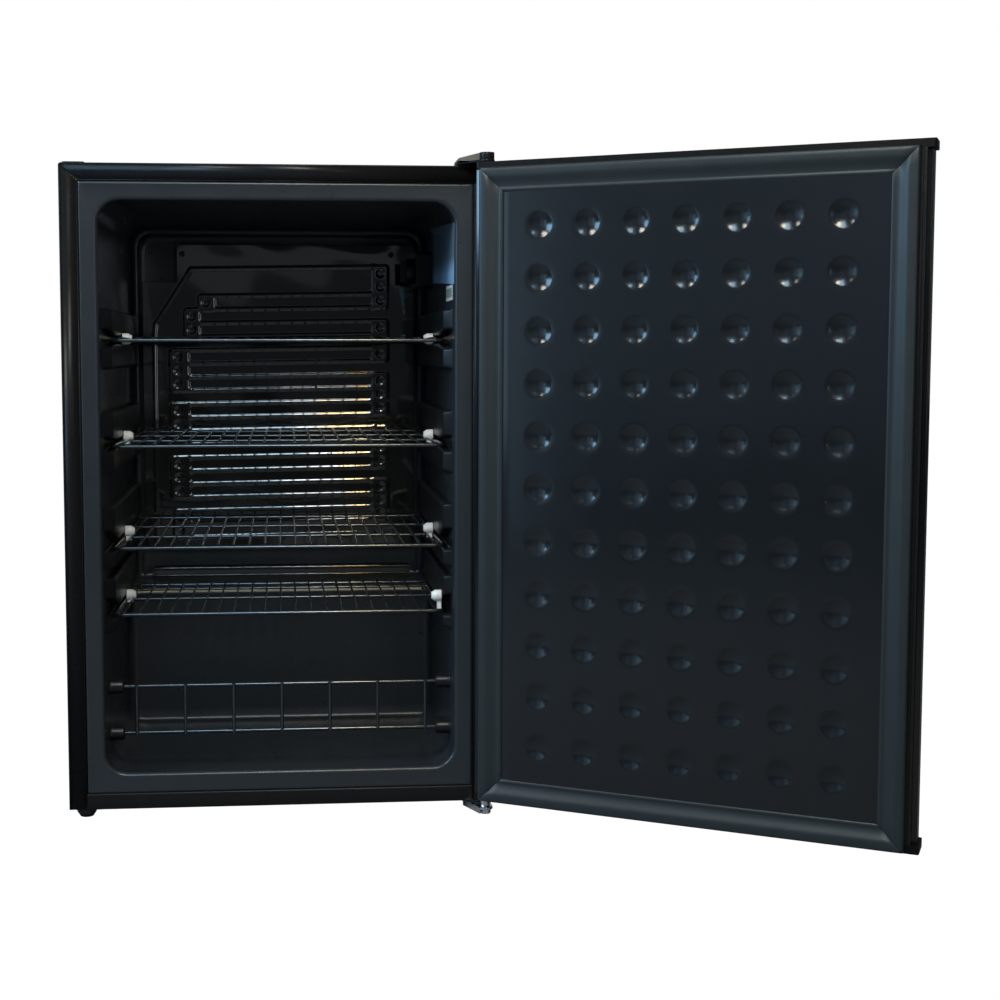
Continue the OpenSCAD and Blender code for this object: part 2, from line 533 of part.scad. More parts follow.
// ---------- compressor bay ----------
module compressor_base_plate() color(zinc) cab() difference() {
  union() {
    box(-272, bay_y + 2, 0, 272, 494, 1.5);
    for (y = [bay_y + 2, 492.5]) box(-272, y, 0, 272, y + 1.5, 10);
  }
  for (x = [-70, 70], y = [-42, 42]) translate([comp[0] + x, comp[1] + y, -1]) cylinder(4, 4.2, 4.2, $fn = 32);
}
module can_profile() {
  translate([0, 45]) square([52.5, 75]);
  translate([0, 20]) square([27.5, 130]);
  translate([27.5, 45]) circle(25, $fn = 64);
  translate([27.5, 120]) circle(25, $fn = 64);
  translate([0, 150]) square([8, 3]);
}
module compressor() color([0.06, 0.06, 0.06]) cab() translate(comp) {
  intersection() {
    union() for (s = [-1, 1]) translate([s * 22, 0, 0]) rotate_extrude($fn = 72) intersection() {
      can_profile();
      square([60, 150]);
    }
    box(-80, -60, 0, 80, 60, 150);
  }
  along_x(-22, 22) intersection() {
    union() { can_profile(); mirror([1, 0]) can_profile(); }
    translate([-60, 0]) square([120, 150]);
  }
  // weld seam
  for (s = [-1, 1]) translate([s * 22, 0, 84]) cylinder(4, 54.5, 54.5, $fn = 72);
  box(-22, -54.5, 84, 22, 54.5, 88);
  // mounting bracket
  difference() {
    box(-80, -50, 18, 80, 50, 20.5);
    for (x = [-70, 70], y = [-42, 42]) translate([x, y, 17]) cylinder(5, 4.2, 4.2, $fn = 32);
  }
}
module compressor_grommets() color([0.09, 0.09, 0.09]) cab()
  for (x = [-70, 70], y = [-42, 42]) translate([comp[0] + x, comp[1] + y, 1.5]) difference() {
    union() { cylinder(16.5, 7, 7, $fn = 32); cylinder(4, 8, 8, $fn = 32); }
    translate([0, 0, -1]) cylinder(20, 4.2, 4.2, $fn = 32);
  }
module compressor_bolts() color(zinc) cab()
  for (x = [-70, 70], y = [-42, 42]) translate([comp[0] + x, comp[1] + y, 0]) {
    translate([0, 0, -2.5]) cylinder(2.5, 7, 7, $fn = 32);
    translate([0, 0, -2]) cylinder(30, 4, 4, $fn = 32);
    translate([0, 0, 20.5]) cylinder(5, 6.5, 6.5, $fn = 6);
  }
module relay_cover() color(black_plastic) cab()
  along_y(412, 460) rrect(36.6, 58, 63, 112, 4);
module drip_tray() color(black_plastic) cab() difference() {
  translate([0, 0, 150.2]) linear_extrude(24) rrect(-112, 386, 32, 486, 8);
  translate([0, 0, 151.8]) linear_extrude(30) rrect(-110.4, 387.6, 30.4, 484.4, 7);
}
module filter_dryer() color([0.75, 0.45, 0.25]) cab() translate([130, 448, 70])
  rotate_extrude($fn = 40) polygon([[0, 0], [2.5, 0], [2.5, 8], [9, 18], [9, 88], [2, 98], [2, 106], [0, 106]]);
module refrigerant_pipes() color([0.75, 0.45, 0.25]) cab() {
  // discharge line to the left side coil
  pipe([[-114.1, 446, 60], [-150, 446, 60], [-150, 446, 30], [-220, 446, 30], [-220, 420, 30],
    [-220, 420, 205.9]], 3);
  // suction line from the cold plate
  pipe([[-114, 424, 100], [-175, 424, 100], [-175, 424, 205.9]], 4);
  // line from the right side coil into the filter
  pipe([[230, 448, 205.9], [230, 448, 40], [130, 448, 40], [130, 448, 69.98]], 2.4);
  // thin line up to the cold plate
  pipe([[130, 448, 176.02], [130, 448, 190], [110, 448, 190], [110, 448, 205.9]], 1.2);
  // sealed service stub
  pipe([[-114.6, 436, 80], [-135, 436, 80], [-135, 470, 80]], 3);
}
module cord_gland() color(black_plastic) cab() difference() {
  box(176, 470, 1.5, 200, 490, 17);
  rod([188, 460, 9.5], [188, 500, 9.5], 3.8);
}

outer_wrapper();
front_bottom_rail();
base_pan();
back_panel();
inner_liner();
cabinet_foam();
condenser_coil();
evaporator_plate();
evaporator_spacers();
evaporator_screws();
drain_trough();
drain_tube();
thermostat_housing();
thermostat_knob();
rating_label();
small_label();
shelf_1();
shelf_2();
shelf_3();
shelf_4();
shelf_clips_1();
shelf_clips_2();
shelf_clips_3();
shelf_clips_4();
bottle_guard();
front_left_foot();
front_right_foot();
rear_feet();
left_foot_plate();
base_screws();
top_hinge_shim();
top_hinge_bracket();
top_hinge_pin();
top_hinge_cover();
top_hinge_screws();
lower_hinge_bracket();
lower_hinge_pin();
hinge_hole_plug();
door_outer_skin();
door_top_cap();
door_bottom_cap();
door_liner();
door_foam();
door_gasket();
gasket_magnets();
door_bushings();
door_grip_trim();
compressor();
compressor_grommets();
compressor_bolts();
compressor_base_plate();
relay_cover();
drip_tray();
filter_dryer();
refrigerant_pipes();
cord_gland();
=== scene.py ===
"""Compact upright refrigerator with its door open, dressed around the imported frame."""
import json
import math

import bmesh
import bpy
import numpy as np
from mathutils import Matrix, Vector


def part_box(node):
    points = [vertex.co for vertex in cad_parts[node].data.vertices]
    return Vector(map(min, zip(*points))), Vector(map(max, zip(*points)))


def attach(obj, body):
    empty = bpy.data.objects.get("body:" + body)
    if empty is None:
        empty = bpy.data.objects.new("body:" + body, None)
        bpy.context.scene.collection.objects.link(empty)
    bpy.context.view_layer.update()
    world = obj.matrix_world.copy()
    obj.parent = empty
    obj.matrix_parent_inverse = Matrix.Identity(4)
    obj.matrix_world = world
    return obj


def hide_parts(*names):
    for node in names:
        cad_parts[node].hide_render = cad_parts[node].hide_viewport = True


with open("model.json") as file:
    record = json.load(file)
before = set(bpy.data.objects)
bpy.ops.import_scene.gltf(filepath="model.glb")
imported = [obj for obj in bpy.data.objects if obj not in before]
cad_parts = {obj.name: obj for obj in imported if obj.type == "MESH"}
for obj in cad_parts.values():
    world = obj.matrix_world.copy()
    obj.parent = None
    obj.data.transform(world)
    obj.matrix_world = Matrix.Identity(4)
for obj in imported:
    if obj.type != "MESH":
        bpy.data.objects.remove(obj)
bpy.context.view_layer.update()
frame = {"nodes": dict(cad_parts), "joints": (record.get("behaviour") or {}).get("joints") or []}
N = frame["nodes"]

# ---------------------------------------------------------------- sizes from the frame (mm)
lo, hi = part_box("outer_wrapper")
W, H, D = (hi.x - lo.x) * 1000, (hi.z - lo.z) * 1000, (hi.y - lo.y) * 1000
YF, Z0 = lo.y * 1000, lo.z * 1000              # front plane and underside of the cabinet
HW = W / 2
lo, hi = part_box("top_hinge_pin")
PX, PY = (lo.x + hi.x) * 500, (lo.y + hi.y) * 500 - YF
OPEN = math.radians(-next(j for j in frame["joints"] if j["name"] == "door_hinge")["range_deg"][0])
OW, OZ0, OZ1, OR = HW - 47, 46.0, H - 46, 29.0  # opening
FLOOR, BACK = 36.0, 445.0                      # chamber floor and back wall
HUMP_Y, HUMP_Z = 330.0, 238.0                  # face and top of the rear step
YI, YO = -12.3, -50.6                          # door flange plane and outer face, closed
DZ0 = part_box("door_bottom_cap")[0].z * 1000 - Z0
DZ1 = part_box("door_top_cap")[1].z * 1000 - Z0
WIRE_R = 2.5                                   # outer wire of a shelf
SHELVES = [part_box(f"shelf_{i}")[0].z * 1000 - Z0 + WIRE_R for i in (1, 2, 3, 4)]
RAIL_UP, RAIL_DN = (42, 47, 58, 50), (38, 36, 27, 22)      # rail above and below each shelf
MOUTH_UP, MOUTH_DN = (13, 11.5, 22, 22), (9, 6.5, 3.5, 3.5)  # flared groove mouth


def cab(p):
    """Cabinet coordinates (mm, front plane y 0, underside z 0) to the row frame (m)."""
    p = np.asarray(p, float)
    return (p + np.array([0, YF, Z0])) / 1000


def door(p):
    """Closed-door coordinates (mm) to the row frame with the door standing open."""
    p = np.asarray(p, float)
    c, s = math.cos(OPEN), math.sin(OPEN)
    x, y = p[..., 0] - PX, p[..., 1] - PY
    return cab(np.stack([PX + c * x - s * y, PY + s * x + c * y, p[..., 2]], -1))


# ---------------------------------------------------------------- mesh helpers
def new_obj(name, verts, faces, body, nodes, mat, angle=0):
    """Smooth-shaded piece on a body; with an angle (degrees), edges sharper than it stay sharp."""
    me = bpy.data.meshes.new(name)
    points = [tuple(v) for v in np.asarray(verts, float)]
    me.from_pydata(points, [], [tuple(int(i) for i in f) for f in faces])
    me.validate()
    ob = bpy.data.objects.new(name, me)
    bpy.context.scene.collection.objects.link(ob)
    me.materials.append(mat)
    for p in me.polygons:
        p.use_smooth = True
    if angle:
        sharp_edges(me, angle)
    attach(ob, body)
    if nodes:
        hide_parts(*nodes)
    return ob


def sharp_edges(me, angle):
    bm = bmesh.new()
    bm.from_mesh(me)
    lim = math.radians(angle)
    for e in bm.edges:
        if len(e.link_faces) == 2 and e.calc_face_angle(0) > lim:
            e.smooth = False
    bm.to_mesh(me)
    bm.free()


def loft(loops, closed=True, cap0=False, cap1=False, flip=False):
    """Quads between loops with the same number of points."""
    n = len(loops[0])
    V = np.concatenate([np.asarray(l, float) for l in loops])
    F = []
    for k in range(len(loops) - 1):
        a, b = k * n, (k + 1) * n
        for i in range(n if closed else n - 1):
            j = (i + 1) % n
            f = (a + i, a + j, b + j, b + i)
            F.append(f[::-1] if flip else f)
    first, last = tuple(range(n)), tuple(range((len(loops) - 1) * n, len(loops) * n))
    if cap0:
        F.append(first if flip else first[::-1])
    if cap1:
        F.append(last if not flip else last[::-1])
    return V, F


def rr(x0, z0, x1, z1, r):
    """Rounded rectangle as an (n, 2) loop with a fixed point count, counter-clockwise."""
    per, side = 10, 6                          # steps in a corner, points along a side
    r = max(r, 0.02)
    pts = []
    cs = [(x1 - r, z0 + r, -90), (x1 - r, z1 - r, 0), (x0 + r, z1 - r, 90), (x0 + r, z0 + r, 180)]

    def on_corner(k, degrees):
        a = math.radians(degrees)
        return cs[k][0] + r * math.cos(a), cs[k][1] + r * math.sin(a)
    for k in range(4):
        a0, after = cs[k][2], (k + 1) % 4
        pts += [on_corner(k, a0 + 90 * i / per) for i in range(per + 1)]
        p, q = on_corner(k, a0 + 90), on_corner(after, cs[after][2])
        for i in range(1, side + 1):
            t = i / (side + 1)
            pts.append((p[0] + (q[0] - p[0]) * t, p[1] + (q[1] - p[1]) * t))
    return np.array(pts)


def xz(loop2, y):
    """A loop drawn in x and z, stood up at depth y."""
    return np.stack([loop2[:, 0], np.full(len(loop2), float(y)), loop2[:, 1]], -1)


def quads(n, m):
    """Faces of an n by m sheet of points."""
    idx = np.arange(n * m).reshape(n, m)
    return np.stack([idx[:-1, :-1], idx[1:, :-1], idx[1:, 1:], idx[:-1, 1:]], -1).reshape(-1, 4)


def grid(xs, zs, fn):
    """Surface fn(X, Z) -> (n, m, 3) points as quads."""
    X, Zg = np.meshgrid(xs, zs, indexing="ij")
    return fn(X, Zg).reshape(-1, 3), quads(*X.shape)


def sstep(t):
    """Smooth step from 0 to 1."""
    t = np.clip(t, 0, 1)
    return t * t * (3 - 2 * t)


def sheet(ob, thickness):
    """Gives a surface its sheet thickness (mm), behind the drawn side."""
    so = ob.modifiers.new("sheet", "SOLIDIFY")
    so.thickness, so.offset = thickness / 1000, -1


def bevel(ob, width):
    """Soft edges (mm) on a CAD node, by modifiers only."""
    w = ob.modifiers.new("weld", "WELD")
    w.merge_threshold = 0.00002
    b = ob.modifiers.new("bevel", "BEVEL")
    b.width, b.segments = width / 1000, 2
    b.limit_method, b.angle_limit = "ANGLE", math.radians(30)


# ---------------------------------------------------------------- materials
def add(nt, kind, inputs=None, attrs=None):
    """New node; inputs gives each named input a constant or the socket that feeds it."""
    n = nt.nodes.new("ShaderNode" + kind)
    for key, v in (attrs or {}).items():
        setattr(n, key, v)
    for key, v in (inputs or {}).items():
        if isinstance(v, bpy.types.NodeSocket):
            nt.links.new(v, n.inputs[key])
        else:
            n.inputs[key].default_value = v
    return n


def material(name, col, col2=None, rough=(0.4, 0.5), metal=0.0, noise=60, bump=0.1, bump_scale=1500,
             bump_dist=0.0002, coat=0.0, coat_rough=0.1, spec=0.5, bump_kind="noise"):
    """Two tones, varied roughness and fine relief, all by position on the piece."""
    m = bpy.data.materials.new(name)
    m.use_nodes = True
    nt = m.node_tree
    nt.nodes.clear()
    at = add(nt, "TexCoord").outputs["Object"]
    tone = add(nt, "TexNoise", {"Vector": at, "Scale": noise, "Detail": 3})
    if col2 is None:
        col2 = tuple(c * 1.35 + 0.002 for c in col)
    colour = add(nt, "Mix", {"Factor": tone.outputs["Fac"], "A": (*col, 1), "B": (*col2, 1)},
                 {"data_type": "RGBA"})
    wear = add(nt, "TexNoise", {"Vector": at, "Scale": noise * 2.3, "Detail": 4})
    roughness = add(nt, "MapRange", {"Value": wear.outputs["Fac"], "From Min": 0.3, "From Max": 0.7,
                                     "To Min": rough[0], "To Max": rough[1]})
    b = add(nt, "BsdfPrincipled", {
        "Base Color": colour.outputs["Result"], "Roughness": roughness.outputs[0], "Metallic": metal,
        "Specular IOR Level": spec, "Coat Weight": coat, "Coat Roughness": coat_rough})
    add(nt, "OutputMaterial", {"Surface": b.outputs[0]})
    if bump:
        if bump_kind == "voronoi":
            relief = add(nt, "TexVoronoi", {"Vector": at, "Scale": bump_scale}, {"feature": "SMOOTH_F1"})
            height = relief.outputs["Distance"]
        else:
            relief = add(nt, "TexNoise", {"Vector": at, "Scale": bump_scale, "Detail": 2})
            height = relief.outputs["Fac"]
        bp = add(nt, "Bump", {"Strength": bump, "Distance": bump_dist, "Height": height})
        nt.links.new(bp.outputs[0], b.inputs["Normal"])
    return m


def node_of(m, kind):
    return next(n for n in m.node_tree.nodes if n.type == kind)


PAINT = material("black_powder_paint", (0.0090, 0.0088, 0.0096), (0.0116, 0.0113, 0.0122),
                 rough=(0.26, 0.34), noise=25, bump=0.10, bump_scale=1100, bump_dist=0.0002, spec=0.13)
SKIN = material("door_gloss_paint", (0.0050, 0.0052, 0.0060), (0.0070, 0.0073, 0.0084),
                rough=(0.10, 0.14), noise=25, bump=0.06, bump_scale=1100, bump_dist=0.0001, spec=0.5)
LINER = material("moulded_liner", (0.0185, 0.0228, 0.0285), (0.0216, 0.0266, 0.0332),
                 rough=(0.27, 0.34), noise=18, bump=0.04, bump_scale=700, bump_dist=0.0001, spec=0.4)
# painted shade: the rails and guard bosses belong to the liner moulding; this copy of its colour is drawn
# about three times darker to stand in for the shade inside the chamber
SHADED_LINER = material("liner_painted_darker_as_shade", (0.0060, 0.0066, 0.0078), (0.0078, 0.0085, 0.0098), rough=(0.30, 0.36),
                noise=18, bump=0.04, bump_scale=700, bump_dist=0.0001, spec=0.3)
PANEL = material("door_panel_plastic", (0.0078, 0.0100, 0.0130), (0.0095, 0.0120, 0.0155),
                 rough=(0.14, 0.18), noise=14, bump=0.04, bump_scale=500, bump_dist=0.0002, spec=0.45)
GASKET = material("gasket_vinyl", (0.0188, 0.0255, 0.0300), (0.0232, 0.0307, 0.0358),
                  rough=(0.34, 0.42), noise=30, bump=0.10, bump_scale=900, bump_dist=0.0002, spec=0.3)
PLASTIC = material("black_moulding", (0.0055, 0.0055, 0.006), rough=(0.28, 0.38), noise=60, bump=0.15,
                   bump_scale=1300, bump_dist=0.0002, spec=0.4)
TROUGH = material("trough_gloss_moulding", (0.0055, 0.0058, 0.0064), rough=(0.08, 0.12), noise=40,
                  bump=0.06, bump_scale=900, bump_dist=0.0001, coat=0.6, coat_rough=0.08, spec=0.6)
CAP = material("door_cap_plastic", (0.0048, 0.0048, 0.0052), (0.0060, 0.0060, 0.0066),
               rough=(0.34, 0.42), noise=60, bump=0.12, bump_scale=1300, bump_dist=0.0002, spec=0.15)
SCREW = material("black_screw", (0.006, 0.006, 0.006), rough=(0.22, 0.32), noise=120, bump=0.1,
                 spec=0.4)
EVAP = material("coated_cold_plate", (0.0060, 0.0062, 0.0060), (0.0110, 0.0112, 0.0105),
                rough=(0.05, 0.08), noise=14, bump=0.05, bump_scale=350, bump_dist=0.0002, coat=0.8,
                coat_rough=0.04, spec=0.7)
WIRE = material("coated_wire", (0.050, 0.059, 0.068), (0.092, 0.106, 0.120), rough=(0.12, 0.20),
                metal=0.85, noise=90, bump=0.12, bump_scale=1200)
ZINC = material("zinc_plate", (0.62, 0.64, 0.67), (0.78, 0.79, 0.81), rough=(0.20, 0.34), metal=1.0,
                noise=110, bump=0.12, bump_scale=900)
GALV = material("galvanised_sheet", (0.36, 0.37, 0.38), (0.55, 0.56, 0.57), rough=(0.34, 0.5),
                metal=1.0, noise=45, bump=0.1, bump_scale=260, bump_kind="voronoi")
WHITE = material("white_nylon", (0.72, 0.74, 0.75), (0.8, 0.81, 0.81), rough=(0.3, 0.42), noise=120,
                 bump=0.1, bump_scale=1400)
COPPER = material("copper_tube", (0.58, 0.27, 0.15), (0.72, 0.38, 0.22), rough=(0.22, 0.4), metal=1.0,
                  noise=70, bump=0.08, bump_scale=900)
RUBBER = material("black_rubber", (0.012, 0.012, 0.012), rough=(0.6, 0.75), noise=80, bump=0.25,
                  bump_scale=1600)
CANPAINT = material("compressor_enamel", (0.006, 0.006, 0.006), rough=(0.18, 0.3), noise=35, bump=0.2,
                    bump_scale=420, bump_dist=0.0003, coat=0.3)
FOAM = material("insulation_foam", (0.62, 0.52, 0.28), (0.72, 0.62, 0.36), rough=(0.8, 0.95), noise=160,
                bump=0.5, bump_scale=900, bump_kind="voronoi")
MAGNET = material("magnet_strip_black", (0.03, 0.026, 0.024), rough=(0.6, 0.7), noise=100, bump=0.2)
COVERGREY = material("cover_warm_grey", (0.10, 0.09, 0.082), (0.13, 0.118, 0.107), rough=(0.4, 0.5),
                     noise=90, bump=0.12, bump_scale=1400)


def set_mat(node, m):
    ob = N[node]
    ob.data.materials.clear()
    ob.data.materials.append(m)
    for p in ob.data.polygons:
        p.material_index = 0


# CAD node: its material and the width of its edge bevel (mm)
CARRIED = {
    "base_pan": (GALV, 0), "back_panel": (PAINT, 0), "cabinet_foam": (FOAM, 0),
    "condenser_coil": (COPPER, 0), "evaporator_spacers": (WHITE, 0), "evaporator_screws": (SCREW, 0.5),
    "drain_trough": (TROUGH, 0), "drain_tube": (PLASTIC, 0), "thermostat_housing": (PLASTIC, 2.0),
    "thermostat_knob": (PLASTIC, 1.5), "shelf_1": (WIRE, 0), "shelf_2": (WIRE, 0), "shelf_3": (WIRE, 0),
    "shelf_4": (WIRE, 0), "shelf_clips_1": (WHITE, 1.5), "shelf_clips_2": (WHITE, 1.5),
    "shelf_clips_3": (WHITE, 1.5), "shelf_clips_4": (WHITE, 1.5), "bottle_guard": (WIRE, 0),
    "front_left_foot": (RUBBER, 1.0), "front_right_foot": (RUBBER, 1.0),
    "rear_feet": (RUBBER, 1.0), "left_foot_plate": (PAINT, 0.5),
    "base_screws": (ZINC, 0.6), "top_hinge_shim": (PLASTIC, 0.4), "top_hinge_bracket": (PAINT, 0.5),
    "top_hinge_pin": (PAINT, 1.2), "top_hinge_cover": (COVERGREY, 0.3), "top_hinge_screws": (ZINC, 0.6),
    "lower_hinge_bracket": (ZINC, 0.6), "lower_hinge_pin": (ZINC, 0.8), "hinge_hole_plug": (PLASTIC, 0.8),
    "door_top_cap": (CAP, 2.6), "door_bottom_cap": (CAP, 2.6), "door_foam": (FOAM, 0),
    "gasket_magnets": (MAGNET, 0), "door_bushings": (WHITE, 0), "door_grip_trim": (PLASTIC, 0.4),
    "compressor": (CANPAINT, 0), "compressor_grommets": (RUBBER, 0.6), "compressor_bolts": (ZINC, 0.5),
    "compressor_base_plate": (GALV, 0.3), "relay_cover": (PLASTIC, 1.2), "drip_tray": (PLASTIC, 0.5),
    "filter_dryer": (COPPER, 0), "refrigerant_pipes": (COPPER, 0), "cord_gland": (PLASTIC, 0.8),
}
for node, (mat, edge_mm) in CARRIED.items():
    set_mat(node, mat)
    if edge_mm:
        bevel(N[node], edge_mm)


# ---------------------------------------------------------------- stickers
def recolour(m, factor, colour):
    """Blends a material's own colour into another by a factor socket."""
    base = node_of(m, "BSDF_PRINCIPLED").inputs["Base Color"]
    mix = add(m.node_tree, "Mix", {"Factor": factor, "A": base.links[0].from_socket, "B": (*colour, 1)},
              {"data_type": "RGBA"})
    m.node_tree.links.new(mix.outputs["Result"], base)


def place_on(m):
    """Separate x, y and z of the place on a material's piece."""
    return add(m.node_tree, "SeparateXYZ", {0: node_of(m, "TEX_COORD").outputs["Object"]}).outputs


def rim_mask(m, lo, hi, border):
    """1 within the border (m) of a sticker's edge, 0 inside it."""
    at, near = place_on(m), []
    for axis in (1, 2):
        middle, half = (lo[axis] + hi[axis]) / 2, (hi[axis] - lo[axis]) / 2
        off = add(m.node_tree, "Math", {0: at[axis], 1: middle}, {"operation": "SUBTRACT"})
        far = add(m.node_tree, "Math", {0: off.outputs[0]}, {"operation": "ABSOLUTE"})
        near.append(add(m.node_tree, "Math", {0: far.outputs[0], 1: half - border},
                        {"operation": "GREATER_THAN"}).outputs[0])
    return add(m.node_tree, "Math", {0: near[0], 1: near[1]}, {"operation": "MAXIMUM"}).outputs[0]


lo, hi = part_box("rating_label")
# painted shade: the sticker is one pale blue; it is drawn dark at the top, fading to its pale blue towards
# the bottom
BLUE = material("blue_sticker_painted_shade", (0.085, 0.120, 0.160), (0.105, 0.150, 0.200), rough=(0.38, 0.5),
                noise=40, bump=0.06)
painted_shade_ramp = add(BLUE.node_tree, "MapRange",
           {"Value": place_on(BLUE)["Z"], "From Min": hi.z - 0.052, "From Max": lo.z + 0.014},
           {"interpolation_type": "SMOOTHSTEP"})
recolour(BLUE, painted_shade_ramp.outputs[0], (0.24, 0.42, 0.62))
set_mat("rating_label", BLUE)

lo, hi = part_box("small_label")
PALE = material("plain_white_sticker", (0.20, 0.26, 0.22), (0.24, 0.312, 0.264), rough=(0.38, 0.5),
                noise=40, bump=0.06)
recolour(PALE, rim_mask(PALE, lo, hi, 0.004), (0.62, 0.66, 0.66))
set_mat("small_label", PALE)


# ---------------------------------------------------------------- outer wrapper
def build_wrapper():
    """Bent sheet over the sides and top, with its folded front frame and rear return."""
    r = 3.0

    def outline(g):
        """Section of the sheet, set in by g, from the left foot edge over the top to the right."""
        bend = max(r - g, 0.4)
        pts = [(-HW + g, 0.0)]
        pts += [(-HW + g, z) for z in np.linspace(60, H - 60, 9)]
        for i in range(9):
            a = math.radians(180 - 90 * i / 8)
            pts.append((-HW + g + bend + bend * math.cos(a), H - g - bend + bend * math.sin(a)))
        pts += [(x, H - g) for x in np.linspace(-HW + 60, HW - 60, 7)]
        for i in range(9):
            a = math.radians(90 - 90 * i / 8)
            pts.append((HW - g - bend + bend * math.cos(a), H - g - bend + bend * math.sin(a)))
        pts += [(HW - g, z) for z in np.linspace(H - 60, 60, 9)]
        pts.append((HW - g, 0.0))
        return np.array(pts)

    loops = []
    # front edge of the side sheet rounds into the front frame, and the same at the back
    f = 1.6
    for k in range(6):
        a = math.radians(90 * k / 5)
        loops.append(xz(outline(f - f * math.sin(a)), f - f * math.cos(a)))
    for y in np.linspace(20, D - 20, 12):
        loops.append(xz(outline(0), y))
    for k in range(6):
        a = math.radians(90 * k / 5)
        loops.append(xz(outline(f - f * math.cos(a)), D - f + f * math.sin(a)))
    # 12 mm return round the back panel
    ins = outline(12)
    loops.append(xz(ins, D))
    loops.append(xz(ins, D - 1.0))
    V, F = loft(loops, closed=False, flip=True)
    parts_v, parts_f = [V], [list(f) for f in F]
    off = len(V)

    def strip(patches):
        nonlocal off
        P = np.array(patches, float)
        parts_v.append(P.reshape(-1, 3))
        for k in range(len(P)):
            parts_f.append([off + 4 * k, off + 4 * k + 1, off + 4 * k + 2, off + 4 * k + 3])
        off += 4 * len(P)

    rs, rt, g = 23.0, 22.0, 0.28        # side strip, top strip, half of the mitre seam
    # left, right and top strips of the front frame, parted by mitre seams, inner edges rolled back
    quarter = [math.radians(90 * k / 4) for k in range(5)]
    roll = [(1.5 - 1.5 * math.sin(a), 1.5 - 1.5 * math.cos(a)) for a in quarter] + [(0.0, 8.0)]
    for s in (-1, 1):
        def P(x, y, z):
            return (s * (HW - x), y, z)
        qs = [[P(f, 0, 0), P(rs - 1.5, 0, 0), P(rs - 1.5, 0, H - rt - g), P(f, 0, H - f - g)]]
        for (a0, y0), (a1, y1) in zip(roll, roll[1:]):
            qs.append([P(rs - a0, y0, 0), P(rs - a1, y1, 0),
                       P(rs - a1, y1, H - rt - g), P(rs - a0, y0, H - rt - g)])
        if s > 0:
            qs = [x[::-1] for x in qs]
        strip(qs)
    zt, zi, xl, xr = H - f, H - rt, -HW + rs + g, HW - rs - g
    qs = [[(-HW + f + g, 0, zt), (xl, 0, zi + 1.5), (xr, 0, zi + 1.5), (HW - f - g, 0, zt)]]
    for (a0, y0), (a1, y1) in zip(roll, roll[1:]):
        qs.append([(xl, y0, zi + a0), (xl, y1, zi + a1), (xr, y1, zi + a1), (xr, y0, zi + a0)])
    strip(qs)
    V = np.concatenate(parts_v)
    sheet(new_obj("wrapper_sheet", cab(V), parts_f, "cabinet", ("outer_wrapper",), PAINT,
                  angle=40), 0.6)


build_wrapper()


def build_bottom_rail():
    """Folded rail under the opening: front face, rolled upper edge and turned flange."""
    w = HW - 23.1
    prof = [(8.0, 20.0), (2.2, 20.0), (1.3, 19.8), (0.6, 19.3), (0.15, 18.6), (0.0, 17.8), (0.0, 9.0),
            (0.0, 0.9), (0.3, 0.3), (0.8, 0.1)]
    xs = np.concatenate([[-w, -w + 0.6], np.linspace(-w + 30, w - 30, 9), [w - 0.6, w]])
    loops = [np.array([(x, y, z) for y, z in prof]) for x in xs]
    V, F = loft(loops, closed=False, flip=True)
    sheet(new_obj("bottom_rail_sheet", cab(V), F, "cabinet", ("front_bottom_rail",), PAINT),
          0.6)


build_bottom_rail()


# ---------------------------------------------------------------- inner liner
def liner_loops():
    """Loops of the moulded sheet, from its outer edge over the flange and into the chamber."""
    L = []
    ox0, oz0, oz1 = HW - 23.2, 20.2, H - 22.2

    def flange(g, y, r):
        return xz(rr(-ox0 + g, oz0 + g, ox0 - g, oz1 - g, r), y)

    def hole(g, y, zb, r=None):
        return xz(rr(-OW - g, zb - g, OW + g, OZ1 + g, OR + g if r is None else r), y)

    L.append(flange(0, 8, 2.5))
    L.append(flange(0, 3.6, 2.5))
    for k in range(1, 8):
        a = math.radians(90 * k / 7)
        L.append(flange(3.0 - 3.0 * math.cos(a), 3.3 - 3.0 * math.sin(a), 2.5 + k * 0.3))
    # flat flange, slightly dished next to the steel
    L.append(flange(4.6, 0.4, 4.5))
    L.append(flange(6.4, 0.75, 5))
    L.append(hole(6.0, 0.9, OZ0))
    mouth_r = 5.0           # rolled mouth
    for k in range(1, 8):
        a = math.radians(90 * k / 7)
        L.append(hole(mouth_r - mouth_r * math.sin(a), 0.9 + mouth_r - mouth_r * math.cos(a), OZ0))
    for t in (0.25, 0.5, 0.75, 1.0):
        L.append(hole(0, 6 + 20 * t, OZ0 + (FLOOR - OZ0) * sstep(t)))
    for y in (60, 120, 180, 240, 300, HUMP_Y + 1):
        L.append(hole(0, y, FLOOR))
    low = HUMP_Z - 32       # behind the rear step's face the chamber ends under the step's top
    for y in (HUMP_Y + 3, 360, 400):
        L.append(hole(0, y, low))
    R = 9.0
    for k in range(1, 8):
        a = math.radians(90 * k / 7)
        inset = R - R * math.cos(a)
        L.append(hole(-inset, BACK - R + R * math.sin(a), low, OR - inset * 0.4))
    # raised frame pressed into the back wall
    for g, y in ((-10, BACK), (-11.5, BACK - 1.0), (-16, BACK - 1.3), (-18.5, BACK - 0.4), (-20, BACK)):
        L.append(hole(g, y, low, OR - 8))
    L.append(hole(-60, BACK, low, 12))
    return L


V, F = loft(liner_loops(), cap1=True)
new_obj("liner_chamber", cab(V), F, "cabinet", ("inner_liner",), LINER)


